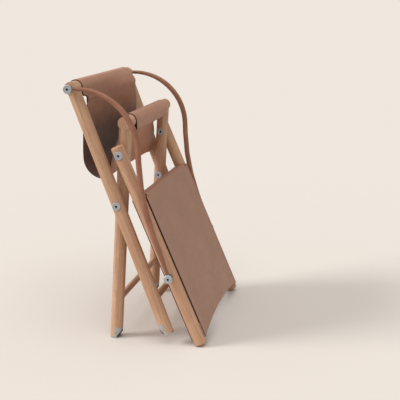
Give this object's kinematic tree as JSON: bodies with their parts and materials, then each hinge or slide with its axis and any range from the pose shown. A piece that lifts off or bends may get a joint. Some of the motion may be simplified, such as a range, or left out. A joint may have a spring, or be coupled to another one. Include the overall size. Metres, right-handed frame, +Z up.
{
  "type": "folding armchair",
  "caption": "Folding armchair of round oak rods: crossing leg frames, hinged leather back, bent leather-covered arms and a leather sling seat, stored folded and standing.",
  "frame": {"origin": "middle of the folded chair's width and depth, on the floor it stands on", "axes": "+X to the sitter's left, -Y the way the sitter faces, +Z up"},
  "size_m": [0.6106, 0.3894, 0.7857],
  "materials": {
    "oak": "oiled satin",
    "peg_wood": "raw beech",
    "seat_leather": "saddle leather, satin grain side and matt flesh side",
    "back_leather": "saddle leather, satin",
    "arm_leather": "saddle leather, stitched",
    "arm_steel": "satin",
    "bolt_steel": "turned, satin",
    "washer_steel": "satin",
    "shoe_metal": "bead blasted",
    "rubber": "matt"
  },
  "bodies": {
    "inner_frame": {"back_pivot_bolt_left": "bolt_steel", "back_pivot_bolt_right": "bolt_steel", "back_pivot_nut_left": "bolt_steel", "back_pivot_nut_right": "bolt_steel", "back_pivot_washer_left": "washer_steel", "back_pivot_washer_right": "washer_steel", "inner_foot_pad_left": "rubber", "inner_foot_pad_right": "rubber", "inner_leg_left": "oak", "inner_leg_right": "oak", "inner_shoe_left": "shoe_metal", "inner_shoe_right": "shoe_metal", "inner_stretcher": "oak", "leg_pivot_bolt_left": "bolt_steel", "leg_pivot_bolt_right": "bolt_steel", "leg_pivot_nut_left": "bolt_steel", "leg_pivot_nut_right": "bolt_steel", "leg_pivot_washer_left": "washer_steel", "leg_pivot_washer_right": "washer_steel", "rear_bar_pegs": "peg_wood", "rear_seat_bar": "oak"},
    "outer_frame": {"arm_front_bolt_left": "bolt_steel", "arm_front_bolt_right": "bolt_steel", "arm_front_spacer_left": "bolt_steel", "arm_front_spacer_right": "bolt_steel", "front_bar_pegs": "peg_wood", "front_seat_bar": "oak", "outer_foot_pad_left": "rubber", "outer_foot_pad_right": "rubber", "outer_leg_left": "oak", "outer_leg_right": "oak", "outer_shoe_left": "shoe_metal", "outer_shoe_right": "shoe_metal", "outer_stretcher": "oak", "seat_sling": "seat_leather"},
    "backrest": {"arm_insert_left": "bolt_steel", "arm_insert_right": "bolt_steel", "back_leather": "back_leather", "back_rail_left": "oak", "back_rail_right": "oak"},
    "left_arm": {"arm_core_left": "arm_steel", "arm_cover_left": "arm_leather", "arm_rear_bolt_left": "bolt_steel", "arm_rear_spacer_left": "bolt_steel"},
    "right_arm": {"arm_core_right": "arm_steel", "arm_cover_right": "arm_leather", "arm_rear_bolt_right": "bolt_steel", "arm_rear_spacer_right": "bolt_steel"}
  },
  "joints": [
    {"name": "fold", "type": "hinge", "parent": "inner_frame", "child": "outer_frame", "pos_m": [0, -0.05491, 0.42205], "axis": [1, 0, 0], "range_deg": [0, 84], "deforming": ["seat_sling"]},
    {"name": "back_hinge", "type": "hinge", "parent": "inner_frame", "child": "backrest", "pos_m": [0, -0.04063, 0.57036], "axis": [1, 0, 0], "range_deg": [0, 183.8]},
    {"name": "left_arm_hinge", "type": "hinge", "parent": "outer_frame", "child": "left_arm", "pos_m": [0.293, -0.17244, 0.76338], "axis": [1, 0, 0], "range_deg": [0, 50.3]},
    {"name": "right_arm_hinge", "type": "hinge", "parent": "outer_frame", "child": "right_arm", "pos_m": [-0.293, -0.17244, 0.76338], "axis": [1, 0, 0], "range_deg": [0, 50.3]}
  ],
  "couplings": [
    {"joint": "back_hinge", "follows": "fold", "ratio": 2.1864},
    {"joint": "left_arm_hinge", "follows": "fold", "ratio": 0.59672},
    {"joint": "right_arm_hinge", "follows": "fold", "ratio": 0.59672}
  ]
}
